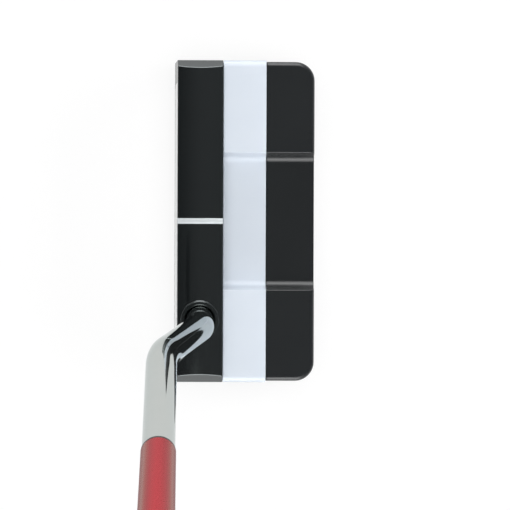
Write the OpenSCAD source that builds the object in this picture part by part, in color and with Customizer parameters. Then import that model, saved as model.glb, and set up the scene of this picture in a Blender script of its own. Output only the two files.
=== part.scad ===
// Mallet putter with a banded head, a double-bend tip and a pistol grip.
// X runs from the striking face to the back, Y from heel to toe, Z up from the ground.
// The origin is on the sole, under the sight line and midway between face and back.

/* [Head] */
// Length of the head from heel to toe
head_len = 106; // [102:0.5:112]
// Depth of the head from the top edge of the face to the back
head_w = 45; // [43:0.5:49]
// Height of the head at the crest of the front body
head_h = 25; // [24.5:0.5:28]
// Depth of the front body along its top
front_w = 14.9; // [14:0.1:16.5]
// Depth of the white deck
deck_w = 14.3; // [12:0.1:16]
// Loft of the striking face, in degrees
loft = 3; // [1:0.5:5]
// Rise of the crowned top over its front and back edges
crown_rise = 0.9; // [0.4:0.1:1.5]
// How far the two raised ends behind the front body lie below the crest
bumper_drop = 3; // [2:0.25:3.75]
// Height of the step from the raised ends down to the lowered middle
step_h = 6; // [5:0.25:6.75]
// Half the gap between the raised ends, at their top edges
step_half = 22.6; // [20:0.2:26]
// Lean of the step walls from upright, in degrees
step_lean = 14; // [5:1:25]
// Radius at the foot of the step walls
step_r = 2.5; // [1:0.1:2.8]
// How much shorter than the deck the rear body is at each end
rear_inset = 0.5; // [0.2:0.1:1.5]

/* [Edges] */
// Run of the bevel on each end of the front body
bevel_run = 2.6; // [1.5:0.1:4]
// Drop of the bevel on each end of the front body
bevel_drop = 4.5; // [3:0.25:8]
// Radius along the ends of the deck
deck_edge_r = 2.2; // [1:0.1:3]
// Radius along the top edges of the raised ends
rear_edge_r = 1.6; // [0.8:0.1:2.4]
// Radius of the two back corners, seen from above
corner_r = 6.3; // [4:0.1:8]
// Height of the relief along the leading edge
lead_relief = 2; // [1:0.1:3]
// Run of the sole relief at heel and toe
relief_run = 5; // [2:0.5:7]
// Rise of the sole relief at heel and toe
relief_rise = 1.5; // [0.5:0.1:2.5]
// Run of the sole bevel at the back
trail_run = 8; // [3:0.5:10]
// Rise of the sole bevel at the back
trail_rise = 2.5; // [1:0.1:4]

/* [Face insert] */
// Distance from each end of the head to the insert
insert_inset = 7.3; // [6:0.1:13]
// Distance from the top edge of the face to the insert, along the face
insert_rim = 2.9; // [2.4:0.1:5]
// Thickness of the insert
insert_t = 1.8; // [1.4:0.1:2.1]
// Distance from the ground to the insert, along the face
insert_low = 4.2; // [3.8:0.1:5]
// Corner radius of the insert
insert_r = 4; // [1:0.25:6]

/* [Sight line] */
// Width of the sight line
sight_w = 1.8; // [1:0.1:3]
// Depth of the groove under the sight line
sight_depth = 0.5; // [0.3:0.05:0.8]
// How far the paint lies below the crown
sight_sink = 0.1; // [0.05:0.05:0.2]

/* [Hosel] */
// Lie of the shaft over the ground, in degrees
lie = 70; // [68:0.5:73]
// Lie of the socket in the head, in degrees
socket_lie = 86; // [83:0.5:88]
// Distance from the heel end of the head to the hosel
hosel_inset = 20.5; // [19.5:0.5:24]
// Wall of the boss round the tip of the shaft
boss_wall = 1.5; // [0.8:0.1:1.8]
// Height of the boss over the crest, along its axis
boss_rise = 0.5; // [0.5:0.1:2]
// Depth of the socket under the crest, along its axis
socket_depth = 14; // [12:0.5:15]
// Chamfer round the mouth of the socket
socket_chamfer = 0.4; // [0.1:0.1:0.6]

/* [Bent tip] */
// Outside diameter of the tip in its socket
tip_d = 9.3; // [9:0.1:9.6]
// Wall of the tip
tip_wall = 0.9; // [0.6:0.1:1.2]
// Straight length between the crest and the first bend
bend_start = 22; // [15:0.5:30]
// Radius of each bend, along the middle of the tube
bend_r = 64; // [40:1:80]
// Straight length between the two bends
bend_gap = 50; // [35:1:65]
// Lean of that length towards the target, in degrees
leg_ahead = 10; // [6:0.5:14]
// Lean of that length towards the heel, in degrees
leg_heel = 6; // [2:0.5:10]
// Distance from the ground to the joint with the shaft tube, along the shaft
joint_at = 197; // [185:1:230]
// Outside diameter of the tip at the joint
joint_d = 9.5; // [9.4:0.1:9.8]
// Length of the spigot inside the shaft tube
spigot_len = 25; // [15:1:40]
// Thickness of the trim ring in the joint
ring_t = 1; // [0.5:0.1:3]

/* [Shaft tube] */
// Length of the whole club along the shaft
club_len = 889; // [813:1:965]
// Outside diameter of the shaft tube at the joint
tube_tip_d = 10; // [9.8:0.1:11]
// Outside diameter of the shaft tube at the butt
tube_butt_d = 14.7; // [14.2:0.1:15.6]
// Wall of the shaft tube
tube_wall = 1; // [0.8:0.1:1.4]
// Length of the counterweight in the butt
plug_len = 32; // [10:1:60]

/* [Grip] */
// Length of the grip without its cap
grip_len = 264; // [230:1:290]
// Diameter of the grip at its mouth
grip_mouth_d = 19; // [18.4:0.2:21]
// Width of the grip at the butt
grip_w = 25.6; // [23:0.2:30]
// Distance from the shaft axis to the thumb flat
grip_flat = 10.6; // [9.8:0.1:12]
// Distance from the shaft axis to the underside
grip_under = 11.8; // [10.5:0.1:14]
// Swell of the pistol on the underside
pistol_rise = 4.2; // [1:0.1:6]
// Distance from the butt to the crest of the pistol
pistol_at = 46; // [30:1:80]
// Spread of the pistol along the grip
pistol_spread = 44; // [25:1:70]
// Thickness of the grip tape
grip_tape_t = 0.2; // [0.1:0.05:0.3]
// Thickness of the cap on the butt
cap_t = 4; // [3:0.25:6]
// Diameter of the vent hole in the cap
vent_d = 3; // [1.5:0.25:5]

/* [Fasteners] */
// Diameter of the screws that join the two bodies
screw_d = 4; // [3:0.25:5]
// Diameter of their countersunk heads
screw_head_d = 7.5; // [7:0.1:8]
// Length of the screws over the head
screw_len = 20; // [17:0.5:24]
// Distance of each screw from the sight line
screw_y = 14; // [11:0.5:16]
// Wall between the screws and the deck
screw_cover = 1.25; // [0.9:0.05:1.45]
// Width of the hex sockets in the screws, across the flats
screw_key = 2.5; // [2:0.1:3]
// Diameter of the dowel pins
dowel_d = 4; // [3:0.25:5]
// Length of the dowel pins
dowel_len = 12; // [8:0.5:14]
// Distance of the dowel pins from the ends of the head
dowel_inset = 12; // [11:0.5:14]
// Wall between the dowel pins and the deck
dowel_cover = 1.85; // [0.85:0.1:2.85]

/* [Sole weights] */
// Head diameter of the weights
weight_d = 11; // [9:0.25:12]
// Thickness of the heads of the weights
weight_t = 3; // [2:0.1:3.4]
// Diameter of the threaded shanks of the weights
shank_d = 8; // [6:0.25:8.5]
// Length of the shanks of the weights
shank_len = 5.5; // [3:0.25:6]
// Distance of the weights from the ends of the head
weight_inset = 12.5; // [12:0.25:14]
// How far the weights lie under the sole surface
weight_sink = 0.3; // [0.1:0.1:0.6]
// Thickness of the washers under the heads
washer_t = 0.4; // [0.2:0.1:0.8]
// Width of the hex sockets in the weights, across the flats
weight_key = 4; // [3:0.25:5]

/* [Bonds and fits] */
// Thickness of the white deck
deck_t = 4; // [3:0.25:4.5]
// Thickness of the bonding tapes under the deck and the insert
tape_t = 0.15; // [0.1:0.05:0.25]
// Gap round bonded and screwed pieces
fit_gap = 0.1; // [0.05:0.05:0.15]
// Edge of a bonded face that its tape leaves free
tape_margin = 1; // [0.5:0.25:2]
// Wall left round the hollows of the rear body
hollow_wall = 3.2; // [2.5:0.1:4.5]

/* [Hidden] */
$fn = 64;
// Length by which a cutter passes the face that it cuts
over = 1;
// Overlap and step in diameter where one length of the bent tip meets the next
lap = 0.1;
lap_step = 0.1;
// Depth by which a step wall runs into the round at its foot
wall_lap = 0.02;
face_x = -head_w / 2;
back_x = head_w / 2;
joint_x = face_x + front_w;
deck_back_x = joint_x + deck_w;
rear_len = head_len - 2 * rear_inset;
edge_h = head_h - crown_rise;
bumper_h = head_h - bumper_drop;
flange_h = bumper_h - step_h;
sole_x = face_x - edge_h * tan(loft);
crown_r = (pow(front_w / 2, 2) + pow(crown_rise, 2)) / (2 * crown_rise);
hosel_x = face_x + front_w / 2;
hosel_y = hosel_inset - head_len / 2;
socket_d = tip_d + 2 * fit_gap;
boss_d = socket_d + 2 * boss_wall;
// Foot of the step wall, and the middle and ends of the round there
step_foot = step_half - step_h * tan(step_lean);
round_y = step_foot + step_r * tan(step_lean) - step_r / cos(step_lean);
round_z = flange_h + step_r;
wall_y = round_y + (step_r - wall_lap) * cos(step_lean);
wall_z = round_z - (step_r - wall_lap) * sin(step_lean);
// Directions of the socket, of the length between the bends and of the shaft
socket_dir = leaning(0, 90 - socket_lie);
leg_dir = leaning(leg_ahead, leg_heel);
shaft_dir = leaning(0, 90 - lie);
// Ends of the bends along the tip, from the crest over the hosel upwards
crest = [hosel_x, hosel_y, head_h];
bend_1 = crest + socket_dir * bend_start;
leg_start = bend_1 + bend_shift(socket_dir, leg_dir);
bend_2 = leg_start + leg_dir * bend_gap;
straight_start = bend_2 + bend_shift(leg_dir, shaft_dir);
// Distances along the shaft start where its axis meets the ground
straight_at = straight_start[2] / sin(lie);
shaft_foot = straight_start - shaft_dir * straight_at;
tube_at = joint_at + ring_t;
tube_end = club_len - cap_t;
grip_at = tube_end - grip_len;
tube_taper = (tube_butt_d - tube_tip_d) / (tube_end - tube_at);
spigot_d = tube_tip_d - 2 * tube_wall - 2 * fit_gap;
insert_len = head_len - 2 * insert_inset;
insert_h = edge_h / cos(loft) - insert_rim - insert_low;
pocket_t = insert_t + tape_t;
weight_seat = weight_sink + weight_t + washer_t;
weight_y = head_len / 2 - weight_inset;
weight_x = hosel_x;
screw_z = flange_h - deck_t - tape_t - screw_cover - screw_d / 2;
screw_head_x = sole_x + screw_z * tan(loft) + pocket_t / cos(loft) + screw_head_d / 2 * tan(loft) + fit_gap;
screw_cone = (screw_head_d - screw_d) / 2;
dowel_y = head_len / 2 - dowel_inset;
dowel_z = bumper_h - deck_t - tape_t - dowel_cover - dowel_d / 2;
grip_rings = 30;
grip_sides = 32;
lip_r = 1;
cap_rings = 6;

// Unit vector that leans from upright towards the target and towards the heel
function leaning(ahead, heel) = let (v = [-tan(ahead), -tan(heel), 1]) v / norm(v);
// Unit vector square to one direction, on the side of another
function turning(a, b) = let (v = b - a * (a * b)) v / norm(v);
// Shift along a bend from one direction to another
function bend_shift(a, b) =
  let (angle = acos(a * b))
  bend_r * (a * sin(angle) + turning(a, b) * (1 - cos(angle)));
// Outside diameter of the shaft tube at a distance along the shaft
function tube_d(at) = tube_tip_d + tube_taper * (at - tube_at);
// Smooth rise from 0 to 1
function ease(t) = let (u = max(0, min(1, t))) u * u * (3 - 2 * u);
// Distances from the shaft axis to the side, the thumb flat and the underside of the grip
function swell(at, full) = grip_mouth_d / 2 + (full - grip_mouth_d / 2) * ease(at / grip_len);
function pistol(at) = pistol_rise * exp(-pow((grip_len - pistol_at - at) / pistol_spread, 2));
function grip_low(at) = swell(at, grip_under) + pistol(at);
// One section of the grip: round below, squarer above where the thumbs lie
function squared(v, power) = sign(v) * pow(abs(v), power);
function grip_point(at, turn, inset) =
  let (power = sin(turn) > 0 ? 1 - 0.45 * ease(at / 60) : 1,
       side = swell(at, grip_w / 2) - inset,
       reach = (sin(turn) > 0 ? swell(at, grip_flat) : grip_low(at)) - inset)
  [side * squared(cos(turn), power), reach * squared(sin(turn), power)];
function grip_ring(at, z, inset) =
  [for (i = [0:grip_sides - 1]) concat(grip_point(at, 360 * i / grip_sides, inset), z)];

// A flat outline in X and Z drawn out along Y, about the sight line
module along_y(length) {
  rotate([90, 0, 0])
    translate([0, 0, -length / 2])
      linear_extrude(length)
        children();
}

// A flat outline in Y and Z drawn out along X
module along_x(from, to) {
  translate([from, 0, 0])
    rotate([90, 0, 90])
      linear_extrude(to - from)
        children();
}

// Moves to the face: X into the head, Z up the lofted face from the ground
module at_face() {
  translate([sole_x, 0, 0])
    rotate([0, loft, 0])
      children();
}

// Moves to the crest over the hosel: Z up the socket
module at_hosel() {
  translate(crest)
    rotate([90 - socket_lie, 0, 0])
      children();
}

// Moves to a point of the bent tip: Z along one direction, which turns to another on the side of -X
module at_bend(point, a, b) {
  x = -turning(a, b);
  y = cross(a, x);
  multmatrix([
    [x[0], y[0], a[0], point[0]],
    [x[1], y[1], a[1], point[1]],
    [x[2], y[2], a[2], point[2]]
  ])
    children();
}

// Moves to the axis of the shaft above both bends
module at_shaft(at) {
  translate(shaft_foot + shaft_dir * at)
    rotate([90 - lie, 0, 0])
      children();
}

module both_ends() {
  for (side = [-1, 1])
    scale([1, side, 1])
      children();
}

// A closed solid through rings of points, from the first ring to the last
module lofted(rings) {
  sides = len(rings[0]);
  last = (len(rings) - 1) * sides;
  polyhedron(
    points = [for (ring = rings) each ring],
    faces = concat(
      [[for (i = [0:sides - 1]) i]],
      [for (r = [0:len(rings) - 2], i = [0:sides - 1])
        let (a = r * sides + i, b = r * sides + (i + 1) % sides)
        each [[a, a + sides, b], [b, a + sides, b + sides]]],
      [[for (i = [sides - 1:-1:0]) last + i]]
    )
  );
}

// Crowned circle that the top of the front body follows
module crown(sink) {
  translate([hosel_x, head_h - crown_r])
    circle(crown_r - sink, $fn = 256);
}

module front_profile(sink) {
  intersection() {
    crown(sink);
    polygon([
      [sole_x + lead_relief, 0],
      [joint_x, 0],
      [joint_x, head_h],
      [sole_x + head_h * tan(loft), head_h],
      [sole_x + lead_relief * tan(loft), lead_relief]
    ]);
  }
}

module front_outline() {
  half = head_len / 2;
  polygon([
    [relief_run - half, 0],
    [half - relief_run, 0],
    [half, relief_rise],
    [half, head_h - bevel_drop],
    [half - bevel_run, head_h],
    [bevel_run - half, head_h],
    [-half, head_h - bevel_drop],
    [-half, relief_rise]
  ]);
}

// Space over the lowered middle, with a round at the foot of each wall
module valley() {
  top = bumper_h + over;
  top_y = step_half + over * tan(step_lean);
  polygon([
    [-round_y, flange_h],
    [round_y, flange_h],
    [wall_y, wall_z],
    [top_y, top],
    [-top_y, top],
    [-wall_y, wall_z]
  ]);
  for (side = [-1, 1])
    translate([side * round_y, round_z])
      circle(step_r);
}

// Region outside a rounded corner that points to +X and +Y
module corner_waste(r) {
  difference() {
    square(r + over);
    circle(r);
  }
}

// Stepped outline of the deck and the rear body, from heel to toe
module stepped_outline(length, edge_r) {
  half = length / 2;
  difference() {
    polygon([
      [relief_run - half, 0],
      [half - relief_run, 0],
      [half, relief_rise],
      [half, bumper_h],
      [-half, bumper_h],
      [-half, relief_rise]
    ]);
    valley();
    for (side = [-1, 1])
      translate([side * (half - edge_r), bumper_h - edge_r])
        rotate(side > 0 ? 0 : 90)
          corner_waste(edge_r);
  }
}

// Cutters that round the back edge of the two raised ends, from the step wall to the corner
module back_edge_waste() {
  in_x = back_x - rear_edge_r;
  from_y = step_half - rear_edge_r;
  to_y = rear_len / 2 - corner_r;
  both_ends() {
    translate([in_x, (from_y + to_y) / 2, bumper_h - rear_edge_r])
      along_y(to_y - from_y)
        corner_waste(rear_edge_r);
    translate([back_x - corner_r, to_y, bumper_h - rear_edge_r])
      rotate_extrude(angle = 90)
        translate([corner_r - rear_edge_r, 0])
          corner_waste(rear_edge_r);
  }
}

// Screw axis, from the pocket floor towards the back
module at_screws() {
  for (side = [-1, 1])
    translate([screw_head_x, side * screw_y, screw_z])
      rotate([0, 90, 0])
        children();
}

module at_dowels() {
  for (side = [-1, 1])
    translate([joint_x, side * dowel_y, dowel_z])
      rotate([0, 90, 0])
        children();
}

module at_weight(side) {
  translate([weight_x, side * weight_y, 0])
    children();
}

// Steel block with the crowned top, the lofted face and the hosel socket
module front_body() {
  color("#22282a")
    difference() {
      union() {
        intersection() {
          along_y(head_len)
            front_profile(0);
          along_x(sole_x - over, joint_x)
            front_outline();
        }
        at_hosel()
          translate([0, 0, -boss_d / 2])
            cylinder(d = boss_d, h = boss_d / 2 + boss_rise);
      }
      at_hosel() {
        translate([0, 0, boss_rise])
          cylinder(d = boss_d, h = head_h);
        translate([0, 0, -socket_depth])
          cylinder(d = socket_d, h = socket_depth + head_h);
        translate([0, 0, boss_rise - socket_chamfer])
          cylinder(d1 = socket_d, d2 = socket_d + 2 * (socket_chamfer + over), h = socket_chamfer + over);
      }
      at_face()
        insert_plate(fit_gap, -over, pocket_t);
      along_y(sight_w)
        difference() {
          translate([sole_x, head_h - front_w])
            square([joint_x + over - sole_x, front_w + over]);
          crown(sight_depth);
        }
      at_screws() {
        translate([0, 0, -screw_head_d])
          cylinder(d = screw_head_d + 2 * fit_gap, h = screw_head_d);
        cylinder(d1 = screw_head_d + 2 * fit_gap, d2 = screw_d + 2 * fit_gap, h = screw_cone);
        cylinder(d = screw_d + 2 * fit_gap, h = front_w + over);
      }
      at_dowels()
        cylinder(d = dowel_d + 2 * fit_gap, h = dowel_len + 2 * fit_gap, center = true);
      for (side = [-1, 1])
        at_weight(side) {
          translate([0, 0, -over])
            cylinder(d = weight_d + 2 * fit_gap, h = weight_seat + over);
          cylinder(d = shank_d + 2 * fit_gap, h = weight_seat + shank_len + fit_gap);
        }
    }
}

// Aluminium body behind the front body, stepped down in the middle and hollow in its raised ends
module rear_body() {
  half = rear_len / 2;
  hollow_y = step_half + hollow_wall;
  hollow_len = half - hollow_wall - hollow_y;
  hollow_h = bumper_h - deck_t - tape_t - 2 * hollow_wall;
  color("#292c2d")
    difference() {
      intersection() {
        along_x(joint_x, back_x)
          stepped_outline(rear_len, rear_edge_r);
        along_y(head_len)
          polygon([
            [joint_x, 0],
            [back_x - trail_run, 0],
            [back_x, trail_rise],
            [back_x, head_h],
            [joint_x, head_h]
          ]);
        linear_extrude(head_h)
          rear_plan();
      }
      along_x(joint_x - over, deck_back_x)
        difference() {
          translate([-head_len / 2, 0])
            square([head_len, head_h]);
          translate([0, -deck_t - tape_t])
            stepped_outline(head_len + 2 * deck_edge_r + over, deck_edge_r);
        }
      back_edge_waste();
      at_screws()
        cylinder(d = screw_d + fit_gap, h = screw_len + fit_gap);
      at_dowels()
        cylinder(d = dowel_d + 2 * fit_gap, h = dowel_len + 2 * fit_gap, center = true);
      for (side = [-1, 1])
        translate([joint_x - over, side > 0 ? hollow_y : -hollow_y - hollow_len, hollow_wall])
          cube([head_w - front_w - 2 * hollow_wall + over, hollow_len, hollow_h]);
    }
}

// Plan of the rear body, with its two rounded back corners
module rear_plan() {
  half = rear_len / 2;
  translate([joint_x, -half])
    square([back_x - corner_r - joint_x, rear_len]);
  translate([joint_x, corner_r - half])
    square([back_x - joint_x, rear_len - 2 * corner_r]);
  for (side = [-1, 1])
    translate([back_x - corner_r, side * (half - corner_r)])
      circle(corner_r);
}

// White stepped plate bonded on the rear body against the front body
module centre_deck() {
  color("#dde4ed")
    along_x(joint_x + fit_gap, deck_back_x - fit_gap)
      difference() {
        stepped_outline(head_len, deck_edge_r);
        translate([0, -deck_t])
          stepped_outline(head_len + 2 * deck_edge_r + over, deck_edge_r);
      }
}

// Bonding tape in three strips under the flats of the deck
module deck_tape() {
  from_x = joint_x + fit_gap + tape_margin;
  strip_w = deck_w - 2 * fit_gap - 2 * tape_margin;
  end_y = step_half + tape_margin;
  end_len = rear_len / 2 - deck_edge_r - tape_margin - end_y;
  mid_len = 2 * round_y - 2 * tape_margin;
  color("#c9b458") {
    translate([from_x, -mid_len / 2, flange_h - deck_t - tape_t])
      cube([strip_w, mid_len, tape_t]);
    for (side = [-1, 1])
      translate([from_x, side > 0 ? end_y : -end_y - end_len, bumper_h - deck_t - tape_t])
        cube([strip_w, end_len, tape_t]);
  }
}

// Rounded plate in the face, grown at its edge and between two depths
module insert_plate(grow, from, to) {
  long = insert_len + 2 * grow;
  high = insert_h + 2 * grow;
  r = insert_r + grow;
  translate([from, 0, insert_low + insert_h / 2])
    rotate([90, 0, 90])
      linear_extrude(to - from) {
        square([long, high - 2 * r], center = true);
        square([long - 2 * r, high], center = true);
        for (a = [-1, 1], b = [-1, 1])
          translate([a * (long / 2 - r), b * (high / 2 - r)])
            circle(r);
      }
}

// White urethane striking plate, flush with the face
module face_insert() {
  color("#f0f1f2")
    at_face()
      insert_plate(0, 0, insert_t);
}

// Bonding tape behind the insert
module insert_tape() {
  color("#c9b458")
    at_face()
      insert_plate(-tape_margin, insert_t, pocket_t);
}

// White paint in the groove across the crown
module sight_line() {
  color("#e4e8ea")
    along_y(sight_w)
      difference() {
        front_profile(sight_sink);
        crown(sight_depth);
      }
}

// Heavy screw in the sole, with a hex socket
module sole_weight() {
  key_depth = weight_t - weight_sink;
  difference() {
    translate([0, 0, weight_sink]) {
      cylinder(d = weight_d, h = weight_t);
      cylinder(d = shank_d, h = weight_t + washer_t + shank_len);
    }
    cylinder(d = weight_key / cos(30), h = weight_sink + key_depth, $fn = 6);
  }
}

module toe_weight() {
  color("#8c8f92")
    at_weight(1)
      sole_weight();
}

module heel_weight() {
  color("#8c8f92")
    at_weight(-1)
      sole_weight();
}

// Thin washers between the weights and their seats
module weight_washers() {
  color("#d8d8d2")
    for (side = [-1, 1])
      at_weight(side)
        translate([0, 0, weight_sink + weight_t])
          difference() {
            cylinder(d = weight_d, h = washer_t);
            translate([0, 0, -over])
              cylinder(d = shank_d + 2 * fit_gap, h = washer_t + 2 * over);
          }
}

// Countersunk screws from the insert pocket into the rear body
module body_screws() {
  color("#9a9da0")
    at_screws()
      difference() {
        union() {
          cylinder(d1 = screw_head_d, d2 = screw_d, h = screw_cone);
          cylinder(d = screw_d, h = screw_len);
        }
        translate([0, 0, -over])
          cylinder(d = screw_key / cos(30), h = screw_cone + over, $fn = 6);
      }
}

// Pins that line up the two bodies
module dowel_pins() {
  color("#b4b7ba")
    at_dowels()
      cylinder(d = dowel_d, h = dowel_len, center = true);
}

// One bend of a round bar, from upright towards -X
module bar_bend(d, angle) {
  translate([-bend_r, 0, 0])
    rotate([90, 0, 0])
      rotate_extrude(angle = angle)
        translate([bend_r, 0])
          circle(d = d);
}

// Round bar through the socket, both bends and the length between them
module bent_bar(d, sunk) {
  at_bend(bend_1, socket_dir, leg_dir) {
    translate([0, 0, -bend_start - sunk])
      cylinder(d = d, h = bend_start + sunk);
    bar_bend(d, acos(socket_dir * leg_dir));
  }
  at_bend(leg_start, leg_dir, shaft_dir) {
    translate([0, 0, -lap])
      cylinder(d = d + lap_step, h = bend_gap + lap);
    translate([0, 0, bend_gap])
      bar_bend(d + lap_step, acos(leg_dir * shaft_dir));
  }
}

// Plated steel tip: a length in the socket, two bends, the straight under the joint and the spigot
module bent_tip() {
  sunk = socket_depth - fit_gap;
  bore_d = tip_d - 2 * tip_wall;
  spigot_bore = spigot_d - 2 * tip_wall;
  straight_len = joint_at - straight_at + lap;
  color("#c6c8c8")
    difference() {
      union() {
        bent_bar(tip_d, sunk);
        at_shaft(straight_at - lap) {
          cylinder(d1 = tip_d + 2 * lap_step, d2 = joint_d, h = straight_len);
          cylinder(d = spigot_d, h = straight_len + spigot_len);
        }
      }
      bent_bar(bore_d, sunk + over);
      at_shaft(straight_at - lap) {
        cylinder(d1 = bore_d + 2 * lap_step, d2 = spigot_bore, h = straight_len);
        cylinder(d = spigot_bore, h = straight_len + spigot_len + over);
      }
    }
}

// Dark trim ring between the tip and the shaft tube
module joint_ring() {
  color("#2a1c1c")
    at_shaft(joint_at)
      difference() {
        cylinder(d = tube_tip_d, h = ring_t);
        translate([0, 0, -over])
          cylinder(d = spigot_d + 2 * fit_gap, h = ring_t + 2 * over);
      }
}

// A length of the shaft's taper, grown in diameter
module taper(from, to, grow) {
  at_shaft(from)
    cylinder(d1 = tube_d(from) + grow, d2 = tube_d(to) + grow, h = to - from);
}

// Tapered tube with red lacquer, from the joint to the butt
module shaft_tube() {
  color("#b03a44")
    difference() {
      taper(tube_at, tube_end, 0);
      taper(tube_at - over, tube_end + over, -2 * tube_wall);
    }
}

// Counterweight inside the butt of the shaft tube
module butt_weight() {
  color("#777a7d")
    taper(tube_end - plug_len, tube_end, -2 * tube_wall - 2 * fit_gap);
}

// Double-sided tape between the shaft tube and the grip
module grip_tape() {
  color("#d9cfa8")
    difference() {
      taper(grip_at + tape_margin, tube_end, 2 * grip_tape_t);
      taper(grip_at, tube_end + over, 0);
    }
}

// Rubber grip with a thumb flat towards the toe and a pistol swell under it
module grip() {
  lip = [for (turn = [0:30:60]) grip_ring(0, lip_r * (1 - cos(turn)), lip_r * (1 - sin(turn)))];
  sleeve = [for (i = [0:grip_rings])
    let (at = lip_r + (grip_len - lip_r) * i / grip_rings)
    grip_ring(at, at, 0)];
  color("#26282a")
    difference() {
      at_shaft(grip_at)
        lofted(concat(lip, sleeve));
      taper(grip_at - over, tube_end + over, 2 * grip_tape_t + fit_gap);
    }
}

// Domed cap that closes the butt, with a vent hole
module grip_cap() {
  dome = [for (i = [0:cap_rings])
    let (turn = 90 * i / cap_rings)
    grip_ring(grip_len, cap_t * sin(turn), cap_t * (1 - cos(turn)))];
  color("#1d1f21")
    at_shaft(tube_end)
      difference() {
        lofted(dome);
        translate([0, 0, -over])
          cylinder(d = vent_d, h = cap_t + 2 * over);
      }
}

front_body();
rear_body();
centre_deck();
deck_tape();
face_insert();
insert_tape();
sight_line();
toe_weight();
heel_weight();
weight_washers();
body_screws();
dowel_pins();
bent_tip();
joint_ring();
shaft_tube();
butt_weight();
grip_tape();
grip();
grip_cap();
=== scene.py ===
import math

import bmesh
import bpy
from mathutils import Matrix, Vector


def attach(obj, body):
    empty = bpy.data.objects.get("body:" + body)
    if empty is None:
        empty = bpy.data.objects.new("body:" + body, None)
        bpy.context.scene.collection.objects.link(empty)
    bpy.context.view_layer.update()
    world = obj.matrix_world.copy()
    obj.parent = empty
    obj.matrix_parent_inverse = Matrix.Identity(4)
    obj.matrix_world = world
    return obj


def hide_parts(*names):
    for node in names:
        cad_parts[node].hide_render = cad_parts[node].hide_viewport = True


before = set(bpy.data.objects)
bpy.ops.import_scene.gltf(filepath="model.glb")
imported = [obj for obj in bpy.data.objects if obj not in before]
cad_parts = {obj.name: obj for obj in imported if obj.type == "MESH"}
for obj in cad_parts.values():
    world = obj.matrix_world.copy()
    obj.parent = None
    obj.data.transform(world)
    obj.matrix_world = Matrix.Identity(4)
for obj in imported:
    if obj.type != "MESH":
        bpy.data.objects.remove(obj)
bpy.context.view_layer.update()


# Rear body: the aluminium half of the head, with two raised ends and a lowered middle.
# It is milled from bar, bead blasted and hard anodised black, and the rest of the head is
# built up on it. The mill leaves its edges broken by a quarter of a millimetre.
MM = 0.001
EDGE_BREAK = 0.25 * MM
MERGE = 0.002 * MM
NEARLY_FLAT = math.radians(0.4)
SHARP = math.radians(28)
BLAST_GRAIN = 0.2 * MM
BLAST_DEPTH = 0.01 * MM
ANODISE_DRIFT = 25 * MM


# Turns an sRGB hex value into a linear colour.
def linear(code):
    parts = [int(code[i:i + 2], 16) / 255 for i in (1, 3, 5)]
    curve = [c / 12.92 if c <= 0.04045 else ((c + 0.055) / 1.055) ** 2.4 for c in parts]
    return tuple(curve) + (1.0,)


# Adds a node with its settings, and sets or links its inputs.
def put(tree, kind, sockets=None, **settings):
    made = tree.nodes.new(kind)
    for key, value in settings.items():
        setattr(made, key, value)
    for key, value in (sockets or {}).items():
        if isinstance(value, bpy.types.NodeSocket):
            tree.links.new(value, made.inputs[key])
        else:
            made.inputs[key].default_value = value
    return made


# Starts a material from Blender's plain surface, with the values that don't vary over it.
def start_finish(name, **constants):
    finish = bpy.data.materials.new(name)
    finish.use_nodes = True
    surface = finish.node_tree.nodes["Principled BSDF"]
    for key, value in constants.items():
        surface.inputs[key.replace("_", " ")].default_value = value
    return finish, finish.node_tree, surface


# Copies the mesh of a CAD node and breaks its sharp edges. An edge gets the share of the
# width that share_at gives for its middle.
def broken_edges(node, name, width, share_at=lambda place: 1.0):
    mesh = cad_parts[node].data.copy()
    shape = bmesh.new()
    shape.from_mesh(mesh)
    bmesh.ops.remove_doubles(shape, verts=shape.verts, dist=MERGE)
    bmesh.ops.dissolve_limit(
        shape, angle_limit=NEARLY_FLAT, verts=shape.verts, edges=shape.edges,
    )
    share = shape.edges.layers.float.new("bevel_weight_edge")
    for edge in shape.edges:
        if edge.is_manifold and edge.calc_face_angle() > SHARP:
            edge[share] = share_at((edge.verts[0].co + edge.verts[1].co) / 2)
    shape.to_mesh(mesh)
    shape.free()
    if "custom_normal" in mesh.attributes:
        mesh.attributes.remove(mesh.attributes["custom_normal"])
    mesh.materials.clear()
    mesh.shade_smooth()
    mesh.set_sharp_from_angle(angle=SHARP)
    piece = bpy.data.objects.new(name, mesh)
    bpy.context.collection.objects.link(piece)
    round_off = piece.modifiers.new("broken_edges", "BEVEL")
    round_off.width = width
    round_off.segments = 4
    round_off.limit_method = "WEIGHT"
    round_off.use_clamp_overlap = False
    round_off.harden_normals = True
    return piece


# Hard anodising over a fine bead blast: near black, with a soft sheen that is even in all
# directions, a fine grain and a tone that drifts a little along the piece.
anodised, tree, surface = start_finish("hard_anodised_aluminium_black", IOR=1.5)
spot = put(tree, "ShaderNodeTexCoord")
grain = put(tree, "ShaderNodeTexNoise", {
    "Vector": spot.outputs["Object"], "Scale": 1 / BLAST_GRAIN, "Detail": 2.0,
})
drift = put(tree, "ShaderNodeTexNoise", {
    "Vector": spot.outputs["Object"], "Scale": 1 / ANODISE_DRIFT, "Detail": 1.0,
})
shade = put(tree, "ShaderNodeValToRGB", {"Fac": drift.outputs["Fac"]})
shade.color_ramp.elements[0].color = linear("#181b1d")
shade.color_ramp.elements[1].color = linear("#1d2022")
rough = put(tree, "ShaderNodeMapRange", {
    "Value": grain.outputs["Fac"], "To Min": 0.24, "To Max": 0.32,
})
bump = put(tree, "ShaderNodeBump", {
    "Height": grain.outputs["Fac"], "Strength": 0.12, "Distance": BLAST_DEPTH,
})
tree.links.new(shade.outputs["Color"], surface.inputs["Base Color"])
tree.links.new(rough.outputs["Result"], surface.inputs["Roughness"])
tree.links.new(bump.outputs["Normal"], surface.inputs["Normal"])

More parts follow.
